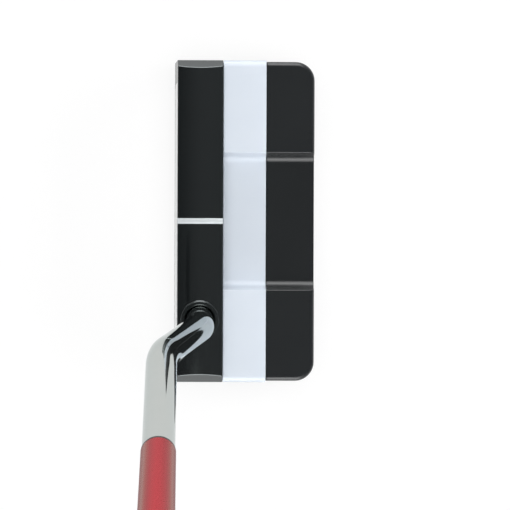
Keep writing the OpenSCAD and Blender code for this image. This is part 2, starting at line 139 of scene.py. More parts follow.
rear = broken_edges("rear_body", "rear_body_milled", EDGE_BREAK)
rear.data.materials.append(anodised)
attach(rear, "root")
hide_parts("rear_body")

# Dowel pins and body screws: ground pins that line up the two bodies, and countersunk
# screws that pull them together from inside the insert pocket. They are bare steel, and
# nothing of them shows on the finished club.
TOOL_MARKS = 0.3 * MM

# Turned stainless steel: a bright grey metal whose tool marks break up its reflections.
steel, tree, surface = start_finish("stainless_steel_turned", Metallic=1.0)
spot = put(tree, "ShaderNodeTexCoord")
marks = put(tree, "ShaderNodeTexNoise", {
    "Vector": spot.outputs["Object"], "Scale": 1 / TOOL_MARKS, "Detail": 3.0,
})
shade = put(tree, "ShaderNodeValToRGB", {"Fac": marks.outputs["Fac"]})
shade.color_ramp.elements[0].color = linear("#a2a5a8")
shade.color_ramp.elements[1].color = linear("#b9bcbf")
rough = put(tree, "ShaderNodeMapRange", {
    "Value": marks.outputs["Fac"], "To Min": 0.22, "To Max": 0.38,
})
tree.links.new(shade.outputs["Color"], surface.inputs["Base Color"])
tree.links.new(rough.outputs["Result"], surface.inputs["Roughness"])

for node in ("dowel_pins", "body_screws"):
    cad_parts[node].material_slots[0].material = steel

# Front body: the steel half of the head, which carries the face and the shaft. Its top
# is crowned, its ends are bevelled and the boss round the shaft stands a little proud.
# It is milled, blasted, blackened and screwed to the rear body.
OXIDE_DRIFT = 20 * MM
GROOVE_EDGE = 0.06 * MM
GROOVE_REACH = 1.2 * MM
SOLE_LIFT = 0.006 * MM

# Black oxide over a fine blast: a deeper black than the anodising, with a cool sheen that
# is stronger and a little tighter.
blackened, tree, surface = start_finish("black_oxide_steel_satin", IOR=1.88)
surface.inputs["Specular Tint"].default_value = linear("#f5ffff")
spot = put(tree, "ShaderNodeTexCoord")
grain = put(tree, "ShaderNodeTexNoise", {
    "Vector": spot.outputs["Object"], "Scale": 1 / BLAST_GRAIN, "Detail": 2.0,
})
drift = put(tree, "ShaderNodeTexNoise", {
    "Vector": spot.outputs["Object"], "Scale": 1 / OXIDE_DRIFT, "Detail": 1.0,
})
shade = put(tree, "ShaderNodeValToRGB", {"Fac": drift.outputs["Fac"]})
shade.color_ramp.elements[0].color = linear("#0a0d0f")
shade.color_ramp.elements[1].color = linear("#0e1113")
rough = put(tree, "ShaderNodeMapRange", {
    "Value": grain.outputs["Fac"], "To Min": 0.21, "To Max": 0.28,
})
bump = put(tree, "ShaderNodeBump", {
    "Height": grain.outputs["Fac"], "Strength": 0.1, "Distance": BLAST_DEPTH,
})
tree.links.new(shade.outputs["Color"], surface.inputs["Base Color"])
tree.links.new(rough.outputs["Result"], surface.inputs["Roughness"])
tree.links.new(bump.outputs["Normal"], surface.inputs["Normal"])


# The edges of the sight groove are broken less than the others, so that its line is crisp.
def front_edge_share(place):
    return 1.0 if abs(place.y) > GROOVE_REACH else GROOVE_EDGE / EDGE_BREAK


front = broken_edges("front_body", "front_body_milled", EDGE_BREAK, front_edge_share)
# The corners of the sole are lifted by a hair, so that none is broken to below the ground.
for vertex in front.data.vertices:
    vertex.co.z = max(vertex.co.z, SOLE_LIFT)
front.data.materials.append(blackened)
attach(front, "root")
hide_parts("front_body")

# Bonding tapes: thin acrylic foam under the deck and behind the insert, which holds both
# in place. The tapes are cut to shape, and hidden once the head is closed.
FOAM_CELL = 0.4 * MM

# Acrylic foam tape: straw coloured and dull, with a speckle from its cells.
tape, tree, surface = start_finish("acrylic_bonding_tape", Roughness=0.75)
spot = put(tree, "ShaderNodeTexCoord")
foam = put(tree, "ShaderNodeTexVoronoi", {
    "Vector": spot.outputs["Object"], "Scale": 1 / FOAM_CELL,
})
shade = put(tree, "ShaderNodeValToRGB", {"Fac": foam.outputs["Distance"]})
shade.color_ramp.elements[0].color = linear("#c9b458")
shade.color_ramp.elements[1].color = linear("#d8c878")
tree.links.new(shade.outputs["Color"], surface.inputs["Base Color"])

for node in ("deck_tape", "insert_tape"):
    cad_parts[node].material_slots[0].material = tape

# Centre deck: the white band behind the front body, stepped like the rear body that it is
# bonded to. It is a plate moulded in filled nylon, and its edges are slightly rounded.
MOULD_EDGE = 0.2 * MM
NYLON_CLOUD = 12 * MM
NYLON_SKIN = 0.25 * MM
NYLON_SKIN_DEPTH = 0.01 * MM

# Moulded nylon: a cool white with a smooth satin face, clouded a little by its filler.
nylon, tree, surface = start_finish("moulded_nylon_cool_white", IOR=1.5)
spot = put(tree, "ShaderNodeTexCoord")
cloud = put(tree, "ShaderNodeTexNoise", {
    "Vector": spot.outputs["Object"], "Scale": 1 / NYLON_CLOUD, "Detail": 2.0,
})
skin = put(tree, "ShaderNodeTexNoise", {
    "Vector": spot.outputs["Object"], "Scale": 1 / NYLON_SKIN, "Detail": 1.0,
})
shade = put(tree, "ShaderNodeValToRGB", {"Fac": cloud.outputs["Fac"]})
shade.color_ramp.elements[0].color = linear("#dbe4ef")
shade.color_ramp.elements[1].color = linear("#e1e9f3")
rough = put(tree, "ShaderNodeMapRange", {
    "Value": skin.outputs["Fac"], "To Min": 0.42, "To Max": 0.52,
})
bump = put(tree, "ShaderNodeBump", {
    "Height": skin.outputs["Fac"], "Strength": 0.08, "Distance": NYLON_SKIN_DEPTH,
})
tree.links.new(shade.outputs["Color"], surface.inputs["Base Color"])
tree.links.new(rough.outputs["Result"], surface.inputs["Roughness"])
tree.links.new(bump.outputs["Normal"], surface.inputs["Normal"])

deck = broken_edges("centre_deck", "centre_deck_moulded", MOULD_EDGE)
deck.data.materials.append(nylon)
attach(deck, "root")
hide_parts("centre_deck")

# Face insert: the white striking plate, cast in urethane and bonded flush in its pocket
# in the face. From above only its upper edge shows.
CAST_EDGE = 0.2 * MM
URETHANE_MOTTLE = 3 * MM

# Cast urethane: a clean white that is soft to look at, with a faint mottle.
urethane, tree, surface = start_finish("cast_urethane_white", IOR=1.5)
spot = put(tree, "ShaderNodeTexCoord")
mottle = put(tree, "ShaderNodeTexNoise", {
    "Vector": spot.outputs["Object"], "Scale": 1 / URETHANE_MOTTLE, "Detail": 3.0,
})
shade = put(tree, "ShaderNodeValToRGB", {"Fac": mottle.outputs["Fac"]})
shade.color_ramp.elements[0].color = linear("#eff0f0")
shade.color_ramp.elements[1].color = linear("#f5f6f6")
rough = put(tree, "ShaderNodeMapRange", {
    "Value": mottle.outputs["Fac"], "To Min": 0.4, "To Max": 0.5,
})
tree.links.new(shade.outputs["Color"], surface.inputs["Base Color"])
tree.links.new(rough.outputs["Result"], surface.inputs["Roughness"])

insert = broken_edges("face_insert", "face_insert_cast", CAST_EDGE)
insert.data.materials.append(urethane)
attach(insert, "root")
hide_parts("face_insert")

# Sight line: a groove milled across the crown and filled with white enamel. The enamel
# draws down as it dries, so it is hollow across its width.
CROWN_X, CROWN_R, CROWN_TOP = -15.05 * MM, 31.285 * MM, 25 * MM
LINE_HALF = 0.9 * MM
LINE_SINK = 0.1 * MM
LINE_HOLLOW = 0.2 * MM
GROOVE_DEPTH = 0.5 * MM
LINE_GAP = 0.03 * MM
LINE_STEPS = 48
LOFT_SHARP = math.radians(40)
ENAMEL_RIPPLE = 1.5 * MM

# Enamel: an off-white with more gloss than the plastics, and ripples from its drying.
enamel, tree, surface = start_finish("enamel_fill_white", IOR=1.5)
spot = put(tree, "ShaderNodeTexCoord")
ripple = put(tree, "ShaderNodeTexNoise", {
    "Vector": spot.outputs["Object"], "Scale": 1 / ENAMEL_RIPPLE, "Detail": 2.0,
})
shade = put(tree, "ShaderNodeValToRGB", {"Fac": ripple.outputs["Fac"]})
shade.color_ramp.elements[0].color = linear("#d5dcdf")
shade.color_ramp.elements[1].color = linear("#dbe1e4")
rough = put(tree, "ShaderNodeMapRange", {
    "Value": ripple.outputs["Fac"], "To Min": 0.25, "To Max": 0.35,
})
tree.links.new(shade.outputs["Color"], surface.inputs["Base Color"])
tree.links.new(rough.outputs["Result"], surface.inputs["Roughness"])


# Joins a row of rings of points to a closed skin. A bored piece runs on from its last ring
# to its first, and a solid one is closed by a face at each end.
def lofted(name, rings, bored=True):
    shape = bmesh.new()
    rows = [[shape.verts.new(point) for point in ring] for ring in rings]
    for low, high in zip(rows, rows[1:] + rows[:1] if bored else rows[1:]):
        for i in range(len(low)):
            j = (i + 1) % len(low)
            shape.faces.new((low[i], low[j], high[j], high[i]))
    if not bored:
        shape.faces.new(rows[0])
        shape.faces.new(rows[-1])
    bmesh.ops.recalc_face_normals(shape, faces=shape.faces)
    mesh = bpy.data.meshes.new(name)
    shape.to_mesh(mesh)
    shape.free()
    mesh.shade_smooth()
    mesh.set_sharp_from_angle(angle=LOFT_SHARP)
    piece = bpy.data.objects.new(name, mesh)
    bpy.context.collection.objects.link(piece)
    return piece


def under_crown(x, depth):
    return CROWN_TOP - CROWN_R + math.sqrt((CROWN_R - depth) ** 2 - (x - CROWN_X) ** 2)


def enamel_depth(y):
    return LINE_SINK + LINE_HOLLOW * (1 - (y / LINE_HALF) ** 2)


ends = [v.co.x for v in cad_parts["sight_line"].data.vertices]
start, end = min(ends) + LINE_GAP, max(ends)
across_line = [LINE_HALF * (k / 8 - 1) for k in range(17)]
line_rings = []
for i in range(LINE_STEPS + 1):
    x = start + (end - start) * i / LINE_STEPS
    hollow = [Vector((x, y, under_crown(x, enamel_depth(y)))) for y in across_line]
    bed = [Vector((x, y, under_crown(x, GROOVE_DEPTH))) for y in (LINE_HALF, -LINE_HALF)]
    line_rings.append(hollow + bed)
line = lofted("sight_line_filled", line_rings, bored=False)
line.data.materials.append(enamel)
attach(line, "root")
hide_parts("sight_line")

# Sole weights and their washers: heavy turned screws in the sole of the front body, which
# set the weight of the head. Nylon washers under them keep them from working loose.
TURNED_EDGE = 0.2 * MM
for node in ("toe_weight", "heel_weight"):
    weight = broken_edges(node, node + "_turned", TURNED_EDGE)
    weight.data.materials.append(steel)
    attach(weight, "root")
    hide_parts(node)
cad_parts["weight_washers"].material_slots[0].material = nylon

# Bent tip: the lower length of the shaft, a steel tube that stands nearly upright in its
# socket and is bent twice, so that the line of the shaft runs ahead of the face and meets
# the ground in line with the sight line. It is chrome plated and glued into the boss.
SOCKET_SEAT = 13.9 * MM
FIRST_STRAIGHT = 22 * MM
LEG_STRAIGHT = 50 * MM
BEND_R = 64 * MM
JOINT = 197 * MM
SHOULDER = JOINT + 0.02 * MM
TIP_FOOT_R, TIP_LOW_R, TIP_HIGH_R, TIP_JOINT_R = 4.65 * MM, 4.68 * MM, 4.72 * MM, 4.75 * MM
TIP_WALL = 0.9 * MM
SPIGOT_R = 3.9 * MM
SPIGOT_LEN = 25 * MM
TUBE_SIDES = 96
BEND_STEPS = 56
BEND_SPACING = 1 * MM
SEAM_MERGE = 0.001 * MM
RIM_BREAK = 0.12 * MM
RIM_SHARP = math.radians(35)
CHROME_HAZE = 6 * MM


# The way up a run of the shaft that leans ahead of the face and to the heel, in degrees.
def leaning(ahead, heel):
    slope = Vector((-math.tan(math.radians(ahead)), -math.tan(math.radians(heel)), 1))
    return slope.normalized()


SOCKET, LEG, SHAFT = leaning(0, 4), leaning(10, 6), leaning(0, 20)
crest = Vector((-15.05, -32.5, 25)) * MM
reach_1 = BEND_R * math.tan(SOCKET.angle(LEG) / 2)
reach_2 = BEND_R * math.tan(LEG.angle(SHAFT) / 2)
corner_1 = crest + SOCKET * (FIRST_STRAIGHT + reach_1)
corner_2 = corner_1 + LEG * (LEG_STRAIGHT + reach_1 + reach_2)
SHAFT_FOOT = corner_2 - SHAFT * (corner_2.z / SHAFT.z)


# A place on the shaft: along its axis from the ground, across it, and over it.
def on_shaft(at, across=0.0, over=0.0):
    return SHAFT_FOOT + SHAFT * at + Vector((across, over * SHAFT.z, -over * SHAFT.y))


# Sweeps a round section along each run of a route, with every corner bent to one radius.
sweep = bpy.data.node_groups.new("bent_tube", "GeometryNodeTree")
for label, kind in (
    ("Route", "Geometry"),
    ("Bend Radius", "Float"),
    ("Bend Steps", "Int"),
    ("Sides", "Int"),
    ("Ring Spacing", "Float"),
    ("Finish", "Material"),
):
    sweep.interface.new_socket(label, in_out="INPUT", socket_type="NodeSocket" + kind)
sweep.interface.new_socket("Tube", in_out="OUTPUT", socket_type="NodeSocketGeometry")
given = put(sweep, "NodeGroupInput").outputs
bent = put(sweep, "GeometryNodeFilletCurve", {
    "Curve": given["Route"],
    "Count": given["Bend Steps"],
    "Radius": given["Bend Radius"],
    "Limit Radius": True,
}, mode="POLY")
run_len = put(sweep, "GeometryNodeSplineLength")
is_long = put(sweep, "ShaderNodeMath", {
    0: run_len.outputs["Length"], 1: given["Ring Spacing"],
}, operation="GREATER_THAN")
even = put(sweep, "GeometryNodeResampleCurve", {
    "Curve": bent.outputs["Curve"],
    "Selection": is_long.outputs[0],
    "Length": given["Ring Spacing"],
}, mode="LENGTH")
section = put(sweep, "GeometryNodeCurvePrimitiveCircle", {
    "Resolution": given["Sides"], "Radius": 1.0,
}, mode="RADIUS")
width = put(sweep, "GeometryNodeInputRadius")
hull = put(sweep, "GeometryNodeCurveToMesh", {
    "Curve": even.outputs["Curve"],
    "Profile Curve": section.outputs["Curve"],
    "Scale": width.outputs["Radius"],
})
joined = put(sweep, "GeometryNodeMergeByDistance", {
    "Geometry": hull.outputs["Mesh"], "Distance": SEAM_MERGE,
})
smooth = put(sweep, "GeometryNodeSetShadeSmooth", {"Geometry": joined.outputs["Geometry"]})
whole = put(sweep, "GeometryNodeRealizeInstances", {"Geometry": smooth.outputs["Geometry"]})
coated = put(sweep, "GeometryNodeSetMaterial", {
    "Geometry": whole.outputs["Geometry"], "Material": given["Finish"],
})
put(sweep, "NodeGroupOutput", {"Tube": coated.outputs["Geometry"]})


# Makes a tube from runs of places with their radii. A run that is shorter than the spacing
# keeps its two ends alone.
def swept(name, runs, wall, finish, bend_radius=0.0, bend_steps=1, spacing=100 * MM):
    route = bpy.data.curves.new(name, "CURVE")
    route.dimensions = "3D"
    route.twist_mode = "Z_UP"
    for run in runs:
        spline = route.splines.new("POLY")
        spline.points.add(len(run) - 1)
        for point, (place, radius) in zip(spline.points, run):
            point.co = place.to_4d()
            point.radius = radius
    path = bpy.data.objects.new(name + "_route", route)
    bpy.context.collection.objects.link(path)
    maker = path.modifiers.new("bent_tube", "NODES")
    maker.node_group = sweep
    keys = {s.name: s.identifier for s in sweep.interface.items_tree if s.in_out == "INPUT"}
    maker[keys["Bend Radius"]] = bend_radius
    maker[keys["Bend Steps"]] = bend_steps
    maker[keys["Sides"]] = TUBE_SIDES
    maker[keys["Ring Spacing"]] = spacing
    maker[keys["Finish"]] = finish
    scene_now = bpy.context.evaluated_depsgraph_get()
    mesh = bpy.data.meshes.new_from_object(path.evaluated_get(scene_now))
    bpy.data.objects.remove(path)
    mesh.set_sharp_from_angle(angle=RIM_SHARP)
    piece = bpy.data.objects.new(name, mesh)
    bpy.context.collection.objects.link(piece)
    shell = piece.modifiers.new("tube_wall", "SOLIDIFY")
    shell.thickness = wall
    shell.offset = -1
    shell.use_even_offset = True
    rim = piece.modifiers.new("broken_rims", "BEVEL")
    rim.width = RIM_BREAK
    rim.segments = 3
    rim.angle_limit = RIM_SHARP
    rim.harden_normals = True
    return piece


# Bright chrome: a neutral mirror with a trace of haze from the polishing wheel. It is seen
# at low angles along the shaft, where its edge tint counts as much as its colour.
chrome, tree, surface = start_finish("chrome_plate_polished", Metallic=1.0)
surface.inputs["Specular Tint"].default_value = linear("#e5e9e9")
spot = put(tree, "ShaderNodeTexCoord")
haze = put(tree, "ShaderNodeTexNoise", {
    "Vector": spot.outputs["Object"], "Scale": 1 / CHROME_HAZE, "Detail": 2.0,
})
shade = put(tree, "ShaderNodeValToRGB", {"Fac": haze.outputs["Fac"]})
shade.color_ramp.elements[0].color = linear("#c2c5c2")
shade.color_ramp.elements[1].color = linear("#c6c8c5")
rough = put(tree, "ShaderNodeMapRange", {
    "Value": haze.outputs["Fac"], "To Min": 0.03, "To Max": 0.06,
})
tree.links.new(shade.outputs["Color"], surface.inputs["Base Color"])
tree.links.new(rough.outputs["Result"], surface.inputs["Roughness"])

bent_run = [
    (crest - SOCKET * SOCKET_SEAT, TIP_FOOT_R),
    (corner_1, TIP_LOW_R),
    (corner_2, TIP_HIGH_R),
    (on_shaft(JOINT), TIP_JOINT_R),
]
shoulder_run = [(on_shaft(JOINT), TIP_JOINT_R), (on_shaft(SHOULDER), SPIGOT_R)]
spigot_run = [(on_shaft(SHOULDER), SPIGOT_R), (on_shaft(JOINT + SPIGOT_LEN), SPIGOT_R)]
tip = swept(
    "bent_tip_plated", [bent_run, shoulder_run, spigot_run], TIP_WALL, chrome,
    BEND_R, BEND_STEPS, BEND_SPACING,
)
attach(tip, "root")
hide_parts("bent_tip")

# Joint ring: a thin dark ring that covers the joint between the tip and the shaft tube.
# It is moulded acetal and slides over the spigot of the tip before the tube goes on.
RING_LEN = 1 * MM
RING_GAP = 0.03 * MM
RING_R = 5 * MM
RING_WALL = 1 * MM
ACETAL_FLOW = 2 * MM

# Moulded acetal: a brownish black with a dull gloss that follows the flow of the mould.
acetal, tree, surface = start_finish("acetal_moulded_dark", IOR=1.48)
spot = put(tree, "ShaderNodeTexCoord")
flow = put(tree, "ShaderNodeTexNoise", {
    "Vector": spot.outputs["Object"], "Scale": 1 / ACETAL_FLOW, "Detail": 2.0,
})
shade = put(tree, "ShaderNodeValToRGB", {"Fac": flow.outputs["Fac"]})
shade.color_ramp.elements[0].color = linear("#261a1b")
shade.color_ramp.elements[1].color = linear("#302122")
rough = put(tree, "ShaderNodeMapRange", {
    "Value": flow.outputs["Fac"], "To Min": 0.28, "To Max": 0.4,
})
tree.links.new(shade.outputs["Color"], surface.inputs["Base Color"])
tree.links.new(rough.outputs["Result"], surface.inputs["Roughness"])

ring_run = [(on_shaft(JOINT + RING_GAP), RING_R), (on_shaft(JOINT + RING_LEN), RING_R)]
ring = swept("joint_ring_moulded", [ring_run], RING_WALL, acetal)
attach(ring, "root")
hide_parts("joint_ring")

# Shaft tube: the tapered upper length of the shaft, bonded over the spigot of the tip.
# It is wound from carbon fibre, and sprayed with a bright base coat and a clear red over it.
TUBE_AT = JOINT + RING_LEN
TUBE_END = 885 * MM
TUBE_TIP_R, TUBE_BUTT_R = 5 * MM, 7.35 * MM
TUBE_WALL = 1 * MM
FLAKE = 0.3 * MM

# Candy lacquer: a deep red with a painted sheen. Its colour turns grey towards the edges of the tube
# and dark at the very rim, by how squarely the surface faces the view.
# This stands in for reflections of the pale room at low angles. The flake of the base coat is drawn
# several times its real size, so that it shows.
lacquer, tree, surface = start_finish("candy_lacquer_red", Metallic=1.0)
surface.inputs["Specular Tint"].default_value = linear("#e7b9ba")
spot = put(tree, "ShaderNodeTexCoord")
flake = put(tree, "ShaderNodeTexNoise", {
    "Vector": spot.outputs["Object"], "Scale": 1 / FLAKE, "Detail": 1.0,
})
sheen_painted_by_facing = put(tree, "ShaderNodeLayerWeight", {"Blend": 0.5})
drift = put(tree, "ShaderNodeMath", {
    0: flake.outputs["Fac"], 1: 0.03, 2: -0.015,
}, operation="MULTIPLY_ADD")
depth = put(tree, "ShaderNodeMath", {
    0: sheen_painted_by_facing.outputs["Facing"], 1: drift.outputs[0],
}, operation="ADD")
# Painted sheen: this ramp runs from red where the tube faces the view to grey, then dark, at its
# rims.
shade = put(tree, "ShaderNodeValToRGB", {"Fac": depth.outputs[0]})
for at, code in ((0.65, "#aa6062"), (0.7, "#a2746f"), (0.77, "#9e978f")):
    shade.color_ramp.elements.new(at).color = linear(code)
shade.color_ramp.elements[0].color = linear("#c25459")
shade.color_ramp.elements[0].position = 0.59
shade.color_ramp.elements[4].color = linear("#3a3630")
shade.color_ramp.elements[4].position = 0.9
rough = put(tree, "ShaderNodeMapRange", {
    "Value": flake.outputs["Fac"], "To Min": 0.24, "To Max": 0.3,
})
tree.links.new(shade.outputs["Color"], surface.inputs["Base Color"])
tree.links.new(rough.outputs["Result"], surface.inputs["Roughness"])

tube_run = [(on_shaft(TUBE_AT), TUBE_TIP_R), (on_shaft(TUBE_END), TUBE_BUTT_R)]
tube = swept("shaft_tube_lacquered", [tube_run], TUBE_WALL, lacquer)
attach(tube, "root")
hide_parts("shaft_tube")

# Butt weight and grip tape: a steel counterweight pushed into the top of the shaft tube,
# and the crepe paper tape that the grip is glued to. Both are hidden by the grip.
CREPE = 0.8 * MM
CREPE_DEPTH = 0.05 * MM

# Crepe paper: a dull buff with fine wrinkles.
paper, tree, surface = start_finish("crepe_paper_tape", Roughness=0.85)
spot = put(tree, "ShaderNodeTexCoord")
crepe = put(tree, "ShaderNodeTexNoise", {
    "Vector": spot.outputs["Object"], "Scale": 1 / CREPE, "Detail": 3.0,
})
shade = put(tree, "ShaderNodeValToRGB", {"Fac": crepe.outputs["Fac"]})
shade.color_ramp.elements[0].color = linear("#d3c79c")
shade.color_ramp.elements[1].color = linear("#e0d8b6")
bump = put(tree, "ShaderNodeBump", {
    "Height": crepe.outputs["Fac"], "Strength": 0.4, "Distance": CREPE_DEPTH,
})
tree.links.new(shade.outputs["Color"], surface.inputs["Base Color"])
tree.links.new(bump.outputs["Normal"], surface.inputs["Normal"])

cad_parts["butt_weight"].material_slots[0].material = steel
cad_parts["grip_tape"].material_slots[0].material = paper

# Grip and cap: a moulded rubber sleeve with a flat for the thumbs on its upper side and a
# pistol swell below the butt, closed by a domed cap with a vent hole. The sleeve is slid
# over the wet tape, and the skin lies under the CAD's by the height of the pips.
GRIP_LEN = 264 * MM
GRIP_AT = TUBE_END - GRIP_LEN
MOUTH_R = 9.5 * MM
BUTT_HALF_W, BUTT_FLAT, BUTT_UNDER = 12.8 * MM, 10.6 * MM, 11.8 * MM
FLAT_RUN = 60 * MM
FLAT_SQUARENESS = 0.45
PISTOL_RISE, PISTOL_AT, PISTOL_SPREAD = 4.2 * MM, 46 * MM, 44 * MM
BORE_MOUTH_R, BORE_BUTT_R = 6.75 * MM, 7.65 * MM
LIP = 1 * MM
LIP_STEPS = 6
SLEEVE_STEPS = 110
CAP = 4 * MM
CAP_STEPS = 16
VENT_R = 1.5 * MM
VENT_BREAK = 0.2 * MM
PIP = 0.25 * MM
TURNS = [2 * math.pi * i / 96 for i in range(96)]
RUBBER_GRIT = 0.35 * MM
RUBBER_GRIT_DEPTH = 0.04 * MM


def ease(t):
    t = max(0.0, min(1.0, t))
    return t * t * (3 - 2 * t)


def signed_power(value, power):
    return math.copysign(abs(value) ** power, value)


# A point of the grip's outline at one place along it, set in by a little and raised to a
# height, with the flat on the upper side and the pistol swell on the lower one.
def grip_point(at, turn, inset, height):
    def swell(full):
        return MOUTH_R + (full - MOUTH_R) * ease(at / GRIP_LEN)

    upper = math.sin(turn) > 0
    power = 1 - FLAT_SQUARENESS * ease(at / FLAT_RUN) if upper else 1.0
    pistol = PISTOL_RISE * math.exp(-(((GRIP_LEN - PISTOL_AT - at) / PISTOL_SPREAD) ** 2))
    half = swell(BUTT_FLAT) if upper else swell(BUTT_UNDER) + pistol
    across = (swell(BUTT_HALF_W) - inset) * signed_power(math.cos(turn), power)
    over = (half - inset) * signed_power(math.sin(turn), power)
    return on_shaft(GRIP_AT + height, across, over)


def round_ring(height, radius):
    return [on_shaft(GRIP_AT + height, radius * math.cos(t), radius * math.sin(t)) for t in TURNS]


# Natural rubber: black with a dull bloom and a fine tooth from the mould.
rubber, tree, surface = start_finish("moulded_rubber_black", IOR=1.5)
spot = put(tree, "ShaderNodeTexCoord")
grit = put(tree, "ShaderNodeTexNoise", {
    "Vector": spot.outputs["Object"], "Scale": 1 / RUBBER_GRIT, "Detail": 2.0,
})
shade = put(tree, "ShaderNodeValToRGB", {"Fac": grit.outputs["Fac"]})
shade.color_ramp.elements[0].color = linear("#222426")
shade.color_ramp.elements[1].color = linear("#2b2d2f")
rough = put(tree, "ShaderNodeMapRange", {
    "Value": grit.outputs["Fac"], "To Min": 0.6, "To Max": 0.75,
})
bump = put(tree, "ShaderNodeBump", {
    "Height": grit.outputs["Fac"], "Strength": 0.3, "Distance": RUBBER_GRIT_DEPTH,
})
tree.links.new(shade.outputs["Color"], surface.inputs["Base Color"])
tree.links.new(rough.outputs["Result"], surface.inputs["Roughness"])
tree.links.new(bump.outputs["Normal"], surface.inputs["Normal"])

grip_rings = []
for i in range(LIP_STEPS):
    a = math.pi / 2 * i / LIP_STEPS
    inset = PIP + LIP * (1 - math.sin(a))
    grip_rings.append([grip_point(0, t, inset, LIP * (1 - math.cos(a))) for t in TURNS])
for i in range(SLEEVE_STEPS + 1):
    at = LIP + (GRIP_LEN - LIP) * i / SLEEVE_STEPS
    grip_rings.append([grip_point(at, t, PIP, at) for t in TURNS])
grip_rings.append(round_ring(GRIP_LEN, BORE_BUTT_R))
grip_rings.append(round_ring(0, BORE_MOUTH_R))
grip = lofted("grip_moulded", grip_rings)
grip.data.materials.append(rubber)
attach(grip, "root")
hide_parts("grip")

cap_rings = []
for i in range(CAP_STEPS + 1):
    a = math.pi / 2 * i / CAP_STEPS
    inset = PIP + CAP * (1 - math.cos(a))
    height = GRIP_LEN + CAP * math.sin(a)
    cap_rings.append([grip_point(GRIP_LEN, t, inset, height) for t in TURNS])
cap_rings.append(round_ring(GRIP_LEN + CAP, VENT_R + VENT_BREAK))
cap_rings.append(round_ring(GRIP_LEN + CAP - VENT_BREAK, VENT_R))
cap_rings.append(round_ring(GRIP_LEN, VENT_R))
cap = lofted("grip_cap_moulded", cap_rings)
cap.data.materials.append(rubber)
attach(cap, "root")
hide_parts("grip_cap")

# Pips: small blunt cones that the mould leaves in rows round the sides and the underside
# of the grip, for a sure hold. They are one rubber with the sleeve, and the flat has none.
# Each place keeps the way that it faces, and one cone stands on every place.
PIP_ROWS = 104
FIRST_ROW = 14 * MM
ROW_PITCH = 2.3 * MM
PIP_PITCH = 2.6 * MM
PIP_FOOT_R, PIP_TOP_R = 0.6 * MM, 0.35 * MM
FLAT_FROM, FLAT_TO = 25, 155
AHEAD = 0.5 * MM

places, facing = [], []
for row in range(PIP_ROWS):
    at = FIRST_ROW + row * ROW_PITCH
    girth = [grip_point(at, math.radians(d), PIP, at) for d in range(360)]
    ahead = [grip_point(at + AHEAD, math.radians(d), PIP, at + AHEAD) for d in range(360)]
    run = [0.0]
    for d in range(360):
        run.append(run[-1] + (girth[(d + 1) % 360] - girth[d]).length)
    count = round(run[-1] / PIP_PITCH)
    for i in range(count):
        want = (i + 0.5 * (row % 2)) / count * run[-1]
        d = next(k for k in range(360) if run[k + 1] > want)
        if FLAT_FROM < d < FLAT_TO:
            continue
        step = (want - run[d]) / (run[d + 1] - run[d])
        around = girth[(d + 1) % 360] - girth[d]
        places.append(girth[d].lerp(girth[(d + 1) % 360], step))
        facing.append(around.cross(ahead[d] - girth[d]).normalized())
mesh = bpy.data.meshes.new("grip_pips")
mesh.from_pydata(places, [], [])
way_out = mesh.attributes.new("facing", "FLOAT_VECTOR", "POINT")
way_out.data.foreach_set("vector", [part for way in facing for part in way])
pips = bpy.data.objects.new("grip_pips", mesh)
bpy.context.collection.objects.link(pips)

stud = bpy.data.node_groups.new("pips_on_places", "GeometryNodeTree")
for label, kind in (
    ("Places", "Geometry"),
    ("Foot Radius", "Float"),
    ("Top Radius", "Float"),
    ("Height", "Float"),
    ("Finish", "Material"),
):
    stud.interface.new_socket(label, in_out="INPUT", socket_type="NodeSocket" + kind)
stud.interface.new_socket("Pips", in_out="OUTPUT", socket_type="NodeSocketGeometry")
given = put(stud, "NodeGroupInput").outputs
cone = put(stud, "GeometryNodeMeshCone", {
    "Vertices": 8,
    "Radius Bottom": given["Foot Radius"],
    "Radius Top": given["Top Radius"],
    "Depth": given["Height"],
})
way = put(stud, "GeometryNodeInputNamedAttribute", {"Name": "facing"}, data_type="FLOAT_VECTOR")
lean = put(stud, "FunctionNodeAlignRotationToVector", {"Vector": way.outputs["Attribute"]}, axis="Z")
set_out = put(stud, "GeometryNodeInstanceOnPoints", {
    "Points": given["Places"],
    "Instance": cone.outputs["Mesh"],
    "Rotation": lean.outputs["Rotation"],
})
whole = put(stud, "GeometryNodeRealizeInstances", {"Geometry": set_out.outputs["Instances"]})
coated = put(stud, "GeometryNodeSetMaterial", {
    "Geometry": whole.outputs["Geometry"], "Material": given["Finish"],
})
put(stud, "NodeGroupOutput", {"Pips": coated.outputs["Geometry"]})
maker = pips.modifiers.new("pips_on_places", "NODES")
maker.node_group = stud
keys = {s.name: s.identifier for s in stud.interface.items_tree if s.in_out == "INPUT"}
maker[keys["Foot Radius"]] = PIP_FOOT_R
maker[keys["Top Radius"]] = PIP_TOP_R
maker[keys["Height"]] = PIP
maker[keys["Finish"]] = rubber
scene_now = bpy.context.evaluated_depsgraph_get()
made = bpy.data.meshes.new_from_object(pips.evaluated_get(scene_now))
pips.modifiers.clear()
pips.data = made
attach(pips, "root")

# Floor and cove: a pale studio floor that turns up into a wall beyond toe and heel. Both
# are white to the camera and in reflections, purest away from the club, keep its soft
# shadow, and are clear from below. These sizes are in metres.
FLOOR_HALF, COVE_R, WALL_H = 8.0, 1.5, 5.0
COVE_STEPS = 12
NEAR_WHITE = 0.83

